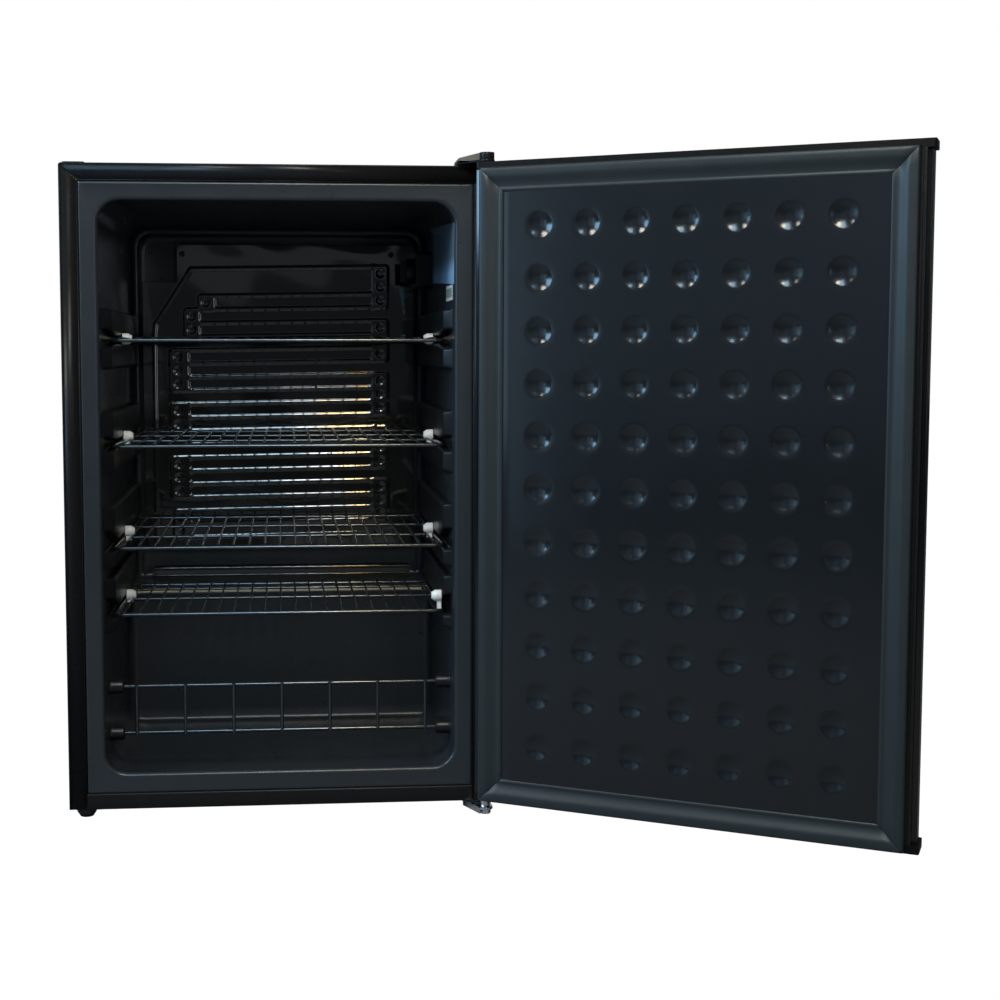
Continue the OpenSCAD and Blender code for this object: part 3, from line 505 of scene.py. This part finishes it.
def build_hump():
    """Rear step over the compressor bay, with fillets to the floor, the walls and the back."""
    prof = []
    R1, R2, R3 = 9.0, 10.0, 9.0
    # floor fillet, then a nearly upright strip before the face; laid out from its tangent angles
    turn = np.concatenate([np.linspace(0, 75, 11), np.linspace(76, 80, 6), np.linspace(83, 90, 4)])
    step = np.concatenate([np.full(10, R1 * math.radians(7.5)), np.full(6, 1.2), np.full(4, 1.4)])
    mid_t = np.radians((turn[1:] + turn[:-1]) / 2)
    py_, pz_ = np.cumsum(step * np.cos(mid_t)), np.cumsum(step * np.sin(mid_t))
    prof.append((HUMP_Y - py_[-1], FLOOR))
    prof += [(HUMP_Y - py_[-1] + a, FLOOR + b) for a, b in zip(py_, pz_)]
    for z in np.linspace(76, HUMP_Z - R2 - 10, 8):
        prof.append((HUMP_Y, z))
    for k in range(9):          # face to top
        a = math.radians(90 * k / 8)
        prof.append((HUMP_Y + R2 - R2 * math.cos(a), HUMP_Z - R2 + R2 * math.sin(a)))
    for y in (360, 390, 420):
        prof.append((y, HUMP_Z))
    for k in range(7):          # top to back wall
        a = math.radians(90 * k / 6)
        prof.append((BACK - R3 + R3 * math.sin(a), HUMP_Z + R3 - R3 * math.cos(a)))
    P = np.array(prof)
    T = np.gradient(P, axis=0)
    T /= np.linalg.norm(T, axis=1)[:, None]
    Nn = np.stack([-T[:, 1], T[:, 0]], -1)      # towards the chamber
    R = 13.0
    d = R * (1 - np.cos(np.linspace(0, math.pi / 2, 9)))   # distance from the wall, dense near it
    wall = OW + 0.3
    xs = np.concatenate([d - wall, np.linspace(-190, 190, 9), (wall - d)[::-1]])
    dist = np.minimum(xs + wall, wall - xs)
    h = np.where(dist < R, R - np.sqrt(np.maximum(R * R - (R - dist) ** 2, 0)), 0)
    V = np.zeros((len(xs), len(P), 3))
    for i, x in enumerate(xs):
        q = P + Nn * h[i]
        V[i, :, 0] = x
        V[i, :, 1], V[i, :, 2] = q[:, 0], q[:, 1]
    new_obj("liner_rear_step", cab(V.reshape(-1, 3)), quads(len(xs), len(P)), "cabinet", (),
            LINER)


build_hump()


def build_rails():
    """Moulded rails: a ridge above and below each groove, sloped at the front, with a flared mouth."""
    rnd = [(0.0, 0.0), (0.35, 0.4), (1.0, 0.66), (2.0, 0.87), (3.2, 0.97), (4.6, 1.0)]  # edge rounding
    proud = 12.0            # how far a ridge stands out from the wall
    for i, z in enumerate(SHELVES):
        y1 = 320 if i == 3 else 424
        ys = np.concatenate([np.arange(27.5, 46, 0.8),
                             [47.5, 50, 55, 62, 70, 78, 86, 95, 110, 140, 180, 220, 260],
                             np.arange(290, y1 - 5, 32),
                             y1 - np.array([4.6, 3.2, 2.0, 1.0, 0.35, 0.0, -0.8])])
        t = (ys - 29.0) / 12.0
        ramp = np.where(t < 0.87, t, np.where(t < 1.13, t - (t - 0.87) ** 2 / 0.52, 1.0))
        end = np.interp(y1 - ys, [-0.8, 0, 0.35, 1.0, 2.0, 3.2, 4.6], [-0.1, 0, 0.4, 0.66, 0.87, 0.97, 1.0])
        e = np.minimum(np.maximum(ramp, -0.1), end)
        far = np.clip((95 - ys) / 55, 0, 1.3)
        up = z + 5.5 + (MOUTH_UP[i] - 5.5) * far       # lower side of the upper ridge
        dn = z - 2.7 - (MOUTH_DN[i] - 2.7) * far       # upper side of the lower ridge
        top, low = z + RAIL_UP[i], z - RAIL_DN[i]
        st = [(low - 2, -0.05)] + [(low + o, g) for o, g in rnd] + [(low + 8, 1.0)]
        cols = [(np.full(len(ys), zz), g) for zz, g in st]
        cols += [(dn - o, g) for o, g in rnd[::-1]]
        cols += [(dn * (1 - q) + up * q, 0.0) for q in (0.08, 0.5, 0.92)]
        cols += [(up + o, g) for o, g in rnd]
        cols += [(np.full(len(ys), top - 8.0), 1.0)]
        cols += [(np.full(len(ys), top - o), g) for o, g in rnd[::-1]]
        cols += [(np.full(len(ys), top + 2.0), -0.05)]
        for s, side in ((-1, "left"), (1, "right")):
            P = np.zeros((len(ys), len(cols), 3))
            for j, (zz, g) in enumerate(cols):
                inner = 7 <= j < len(cols) - 8
                foot = 0.5 if inner else -0.4
                P[:, j, 0] = s * (OW - (foot + (proud - foot) * g) * np.clip(e, 0, 1) + 0.4 * (e <= 0.02))
                P[:, j, 1], P[:, j, 2] = ys, zz
            F = quads(*P.shape[:2])
            if s > 0:
                F = F[:, ::-1]
            new_obj(f"liner_rail_{i + 1}_{side}", cab(P.reshape(-1, 3)), F, "cabinet", (),
                    SHADED_LINER)
    for s, side in ((-1, "left"), (1, "right")):
        for k, z in enumerate((86, 149)):
            loops = []
            for r, x in ((12, OW + 0.4), (10.4, OW - 0.5), (9.6, OW - 1.8), (9.2, OW - 6), (9.0, 211.0),
                         (8.6, 209.4), (7.6, 208.5), (2.8, 208.4), (2.55, 211)):
                a = np.linspace(0, 2 * math.pi, 33)[:-1]
                loops.append(np.stack([np.full(32, s * x), 58 + r * np.cos(a), z + r * np.sin(a)], -1))
            V, F = loft(loops, flip=(s > 0))
            new_obj(f"guard_boss_{side}_{k}", cab(V), F, "cabinet", (), SHADED_LINER, angle=50)


build_rails()


# ---------------------------------------------------------------- cold plate
def build_evaporator():
    """Roll-bonded plate: a serpentine of raised tubes joined by headers with round weld spots."""
    pitch, tilt = 20.9, 0.015           # tube rows, and how much they slope
    tube_r, spot_r = 3.8, 4.4           # half width of a tube, radius of a weld spot

    def row(k):
        return 724 - pitch * k

    def left(k):
        return -98 if k == 2 else -121.5 if k < 6 else -139
    # headers: left, right, middle of the weld spots, first and last row
    heads = [(144, 172, 158, k, k + 3) for k in (0, 4, 8, 12, 16)]
    heads += [(-127, -98, -113.6, 2, 3), (-149, -121.5, -135.5, 3, 5)]
    heads += [(-172, -139, -157.4, k, k + 3) for k in (6, 10, 14)] + [(-168, -139, -157.4, 18, 20)]
    # tubes: the rows, then the feed tube down the left edge
    S = [(-136 if k == 0 else left(k), row(k), 146, row(k)) for k in range(21) if k != 1]
    S += [(-136, 724, -191, 640), (-191, 640, -193, 618), (-193, 618, -193, 303)]
    st = np.array([-10.45, -8.2, -6.2, -4.6, -3.8, -2.9, -2.0, -1.2, -0.5,
                   0.5, 1.2, 2.0, 2.9, 3.8, 4.6, 6.2, 8.2])
    zs = np.concatenate([[290, 291, 293.5], *[row(k) + st for k in range(20, -1, -1)],
                         [735, 741, 748, 755, 759, 760]])
    xs = np.concatenate([[-211, -210, -207, -202, -198], np.arange(-196.5, -93, 1.1),
                         np.arange(-90, 139, 9.5),
                         np.arange(141, 175, 1.1), [177, 182, 190, 198, 204, 208, 210, 211]])

    def join(a, b, k=5.0):
        """The larger of two distances, blended over k."""
        h = np.clip(0.5 + 0.5 * (a - b) / k, 0, 1)
        return b + (a - b) * h + k * h * (1 - h)

    def fn(X, Zg):
        d = np.full(X.shape, -99.0)             # distance in from the edge of the raised pattern
        for x0, z0, x1, z1 in S:
            dx, dz = x1 - x0, z1 - z0
            t = np.clip(((X - x0) * dx + (Zg - z0) * dz) / (dx * dx + dz * dz), 0, 1)
            d = np.maximum(d, tube_r - np.hypot(X - x0 - t * dx, Zg - z0 - t * dz))
        hd = np.full(X.shape, -99.0)
        for x0, x1, xr, k0, k1 in heads:
            r = 7.0
            qx = np.abs(X - (x0 + x1) / 2) - (x1 - x0) / 2 + r
            qz = np.abs(Zg - (row(k0) + row(k1)) / 2) - (row(k0) - row(k1)) / 2 - tube_r + r
            box = np.hypot(np.maximum(qx, 0), np.maximum(qz, 0)) + np.minimum(np.maximum(qx, qz), 0) - r
            hd = np.maximum(hd, -box)
        d = np.where(hd > -12, join(d, hd), d)
        for x0, x1, xr, k0, k1 in heads:
            for k in range(k0, k1):
                d = np.minimum(d, np.hypot(X - xr, Zg - row(k) + pitch / 2) - spot_r)
        # flank from 24 to 13 degrees, then a rounded crest
        dd = np.linspace(0, tube_r, 39)
        ang = np.interp(dd, [0, 3.1, tube_r], [24, 13, 0])
        hh = np.concatenate([[0], np.cumsum(np.tan(np.radians((ang[1:] + ang[:-1]) / 2)) * np.diff(dd))])
        h = np.interp(d, dd, hh)
        edge = np.minimum(np.minimum(X + 211, 211 - X), np.minimum(Zg - 290, 760 - Zg))
        warp = 0.5 * np.sin(X / 61.0) * np.sin(Zg / 83.0 + 1.0) + 0.25 * np.sin(X / 23.0 + Zg / 31.0)
        y = 429.9 - h + warp * np.clip(edge / 20, 0, 1)
        return np.stack([X, y, Zg + tilt * X * np.clip(edge / 12, 0, 1)], -1)
    V, F = grid(xs, zs, fn)
    mid = V[F].mean(1)
    F = F[~((mid[:, 0] < -158) & (mid[:, 2] > 702))]        # notch in the upper left corner
    ob = new_obj("cold_plate_sheet", cab(V), F, "cabinet", ("evaporator_plate",), EVAP)
    bm = bmesh.new()
    bm.from_mesh(ob.data)
    bmesh.ops.delete(bm, geom=[v for v in bm.verts if not v.link_faces], context="VERTS")
    bm.to_mesh(ob.data)
    bm.free()
    sheet(ob, 1.2)


build_evaporator()


# ---------------------------------------------------------------- door
def build_skin():
    """Bent sheet round the door's front and sides, with a sloped strip beside the hinge."""
    def arc(cx, cy, r, a0, a1, n=8):
        turn = [math.radians(a0 + (a1 - a0) * i / n) for i in range(n + 1)]
        return [(cx + r * math.cos(a), cy + r * math.sin(a)) for a in turn]

    def outline(g):
        R = 4.0 - g
        p = [(HW - 11, YI - g), (HW - 8.6, YI - g), (HW - 7.9, YI - 0.06 - g), (HW - 7.5, YI - 0.17 - g),
             (HW - 1.5, YI - 1.56 - g), (HW - 1.1, YI - 1.66 - g)]
        p += arc(HW - 0.9, YI - 2.55, 0.9 - g, 75, 0, 5)
        p += arc(HW - 4, YO + 4, R, 0, -90)
        p += [(x, YO + g) for x in np.linspace(HW - 60, -HW + 60, 9)]
        p += arc(-HW + 4, YO + 4, R, -90, -180)
        p += arc(-HW + 1.4, -22 - 1.4, 1.4 - g, 180, 90, 5)
        p += [(-HW + 12, -22 - g)]
        return np.array(p)
    o, i = outline(0), outline(0.8)[::-1]
    ring = np.concatenate([o, i])
    zs = [DZ0 + 10, DZ0 + 11] + list(np.linspace(DZ0 + 60, DZ1 - 60, 14)) + [DZ1 - 11, DZ1 - 10]
    loops = [np.column_stack([ring, np.full(len(ring), z)]) for z in zs]
    V, F = loft(loops, cap0=True, cap1=True)
    new_obj("door_skin_sheet", door(V), F, "door", ("door_outer_skin",), SKIN, angle=50)


build_skin()


def build_panel():
    """Inner panel: flat flange, sloped border, raised field with concave dimples."""
    x0, x1, z0, z1 = -260.9, 263.9, DZ0 + 10.1, 822.9
    xs = np.linspace(x0, x1, round((x1 - x0) / 1.9))
    zs = np.linspace(z0, z1, round((z1 - z0) / 1.9))
    cx = np.array([187.4 - 61.16 * i for i in range(7)])      # dimple columns and rows
    cz = np.array([751.4 - 66.03 * j for j in range(11)])
    r, deep = 16.5, 3.5                                       # radius and depth of a dimple
    Rs = (r * r + deep * deep) / (2 * deep)                   # radius of its bowl

    def fn(X, Zg):
        edge = np.minimum(np.minimum(X + 231.0, 235.5 - X), np.minimum(Zg - 44.5, 793.5 - Zg))
        y = YI + 5.0 * sstep((edge + 14.0) / 13.0)
        dx = np.abs(X[..., None] - cx).min(-1)
        dz = np.abs(Zg[..., None] - cz).min(-1)
        d = np.hypot(dx, dz)
        bowl = np.where(d < r, np.sqrt(np.maximum(Rs * Rs - d * d, 0)) - (Rs - deep), 0)
        y = y - bowl * sstep((r + 1.0 - d) / 2.4 + 0.3) - 0.16 * np.exp(-((d - r - 0.6) / 1.9) ** 2)
        y = y + 0.35 * np.sin(X / 70.0) * np.sin(Zg / 110.0) * sstep(edge / 30.0)
        y = y - 1.5 * np.exp(-np.clip(235.5 - X, 0, 200) / 9.0)
        return np.stack([X, y, Zg], -1)
    V, F = grid(xs, zs, fn)
    new_obj("door_inner_panel", door(V), F[:, ::-1], "door", ("door_liner",), PANEL)


build_panel()


def build_gasket():
    """Magnetic gasket: one mitred profile round the door, outer bead, bellows groove, inner lip."""
    gx0, gx1, gz0, gz1 = -262.5, 267.4, 12.9, 825.2
    seam = 0.16             # half of the mitre seam
    # (distance in from the outline, height over the flange)
    prof = [(1.2, 0.0), (0.3, 1.0), (0.0, 3.4), (0.4, 7.5), (0.8, 9.8), (1.7, 10.9), (3.2, 11.45),
            (6.0, 11.6), (9.6, 11.6), (11.6, 11.35), (13.2, 10.8), (15.0, 9.9), (17.5, 8.5), (20.0, 7.2),
            (22.4, 6.2), (24.4, 5.7), (25.6, 5.6), (26.4, 5.75), (27.2, 6.0), (28.2, 6.15), (29.2, 6.05),
            (30.2, 5.6), (31.0, 4.9), (31.6, 4.2)]
    corner = np.array([(gx0, gz0), (gx1, gz0), (gx1, gz1), (gx0, gz1)])
    inward = np.array([(1, 1), (-1, 1), (-1, -1), (1, -1)], float)
    V, F = [], []
    for k in range(4):
        a, b = corner[k], corner[(k + 1) % 4]
        ia, ib = inward[k], inward[(k + 1) % 4]
        L = np.linalg.norm(b - a)
        u = (b - a) / L
        ts = np.concatenate([[0, 0.004, 0.02], np.linspace(0.05, 0.95, 13), [0.98, 0.996, 1]])
        base = len(V)
        for t in ts:
            near = min(t, 1 - t) * L
            for d, h in prof:
                p0, p1 = a + ia * d, b + ib * d
                q = p0 + (p1 - p0) * t
                wave = 0.12 * math.sin(t * 37 + k) if 3 < d < 14 else 0
                hh = h * (1 - 0.10 * math.exp(-(near / 2.0) ** 2)) + wave
                q = q + u * (seam if t == 0 else -seam if t == 1 else 0)
                V.append((q[0], YI + min(hh, 11.68), q[1]))
        n = len(prof)
        for i in range(len(ts) - 1):
            for j in range(n - 1):
                a0, b0 = base + i * n + j, base + (i + 1) * n + j
                F.append((b0, b0 + 1, a0 + 1, a0))
    new_obj("gasket_profile", door(np.array(V)), F, "door", ("door_gasket",), GASKET)


build_gasket()

# ---------------------------------------------------------------- stage, lights, camera
scene = bpy.context.scene


def softbox(name, loc, target, w, h, radiance, color):
    """Rectangular light, w across and h high, with a given surface brightness."""
    lamp = bpy.data.lights.new(name, "AREA")
    lamp.shape = "RECTANGLE"
    lamp.size, lamp.size_y = w, h
    lamp.energy, lamp.color = radiance * math.pi * w * h, color
    ob = bpy.data.objects.new(name, lamp)
    ob.location = loc
    ob.rotation_euler = (Vector(target) - Vector(loc)).to_track_quat("-Z", "Y").to_euler()
    scene.collection.objects.link(ob)


FLOOR_HALF = 14.0
fme = bpy.data.meshes.new("floor_sheet")
fme.from_pydata([(x * FLOOR_HALF, y * FLOOR_HALF, 0) for x, y in ((-1, -1), (1, -1), (1, 1), (-1, 1))], [],
                [(0, 1, 2, 3)])
floor = bpy.data.objects.new("floor_sheet", fme)
scene.collection.objects.link(floor)
fm = material("pale_floor", (0.20, 0.195, 0.19), (0.22, 0.215, 0.21), rough=(0.7, 0.8), noise=2, bump=0.0)
ft = fm.node_tree
# seen by the camera the floor is nearly as pale as the backdrop, with part of its own shading left
glow = add(ft, "Emission", {1: 1.2})
seen = add(ft, "Math", {0: add(ft, "LightPath").outputs["Is Camera Ray"], 1: 0.85}, {"operation": "MULTIPLY"})
both = add(ft, "MixShader", {0: seen.outputs[0], 1: node_of(fm, "BSDF_PRINCIPLED").outputs[0],
                             2: glow.outputs[0]})
ft.links.new(both.outputs[0], node_of(fm, "OUTPUT_MATERIAL").inputs[0])
fme.materials.append(fm)

world = bpy.data.worlds.new("studio")
scene.world = world
world.use_nodes = True
wn = world.node_tree
wn.nodes.clear()
soft = add(wn, "Background", {0: (0.84, 0.93, 1.0, 1), 1: 0.07})
backdrop = add(wn, "Background", {0: (1, 1, 1, 1), 1: 1.0})
sky = add(wn, "MixShader", {0: add(wn, "LightPath").outputs["Is Camera Ray"], 1: soft.outputs[0],
                            2: backdrop.outputs[0]})
add(wn, "OutputWorld", {0: sky.outputs[0]})

# name, place, aim, width, height, brightness, colour
LIGHTS = [
    ("front_fill", (-0.35, -3.6, 1.62), (0.1, 0, 0.6), 2.7, 1.5, 0.11, (0.80, 0.90, 1.0)),
    ("left_fill", (-1.50, -2.63, 0.95), (0.5, -0.4, 0.6), 1.7, 1.3, 0.17, (0.50, 0.78, 1.0)),
    ("hinge_glow", (-1.66, -1.28, 0.80), (0.3, -0.3, 0.7), 0.40, 0.9, 1.7, (0.46, 0.74, 1.0)),
    ("panel_glow", (-1.42, -1.67, 0.72), (0.3, -0.3, 0.6), 0.42, 1.2, 0.55, (0.50, 0.76, 1.0)),
    ("front_high", (-0.8, -2.8, 2.8), (0, 0, 0.4), 2.2, 1.8, 0.9, (0.50, 0.76, 1.0)),
    ("front_low", (0.9, -2.9, 0.8), (0.0, 0.1, 0.3), 0.5, 0.9, 2.4, (0.86, 0.93, 1.0)),
    ("side_window", (-2.25, -0.72, 1.33), (0.3, -0.1, 0.8), 0.9, 0.8, 13.0, (0.36, 0.68, 1.0)),
    ("left_lamp", (-1.75, -1.15, 2.1), (0.4, -0.2, 0.7), 0.8, 0.45, 20.0, (1.0, 0.95, 0.86)),
    ("streak_left", (-0.19, -1.58, 1.82), (-0.19, 0.18, 0.5), 0.40, 0.66, 11, (0.60, 0.84, 1.0)),
    ("streak_mid", (0.08, -1.58, 1.82), (0.08, 0.18, 0.5), 0.14, 0.66, 24, (0.90, 0.95, 1.0)),
    ("streak_warm", (0.205, -1.58, 1.82), (0.205, 0.18, 0.5), 0.11, 0.66, 46, (1.0, 0.74, 0.36)),
    ("overhead", (0.25, -0.6, 2.7), (0.35, -0.1, 0.45), 0.9, 0.4, 3, (0.80, 0.92, 1.0)),
    ("back_wash", (0.3, 3.0, 2.2), (0.2, 0, 0.4), 2.2, 1.4, 2.0, (1, 1, 1)),
]
for light in LIGHTS:
    softbox(*light)

cam_data = bpy.data.cameras.new("camera")
cam = bpy.data.objects.new("camera", cam_data)
scene.collection.objects.link(cam)
scene.camera = cam
FOCAL, CENTRE = 1.53519, (0.40973, 0.47107)     # focal length and axis, in picture widths
PITCH, ROLL, YAW = -0.078, 0.0007, -0.082
EYE = (5.75, -1986.44, 594.9)                   # cabinet coordinates, mm
R = Matrix.Rotation(YAW, 3, "Z") @ Matrix.Rotation(PITCH, 3, "X") @ Matrix.Rotation(ROLL, 3, "Y")
right, fwd, up = R.col[0], R.col[1], R.col[2]
M = Matrix((right, up, -fwd)).transposed().to_4x4()
M.translation = Vector(cab(EYE))
cam.matrix_world = M
cam_data.sensor_width = 36
cam_data.lens = FOCAL * cam_data.sensor_width
cam_data.shift_x = 0.5 - CENTRE[0]
cam_data.shift_y = CENTRE[1] - 0.5
cam_data.clip_end = 60
scene.view_settings.view_transform = "Standard"
scene.view_settings.look = "None"
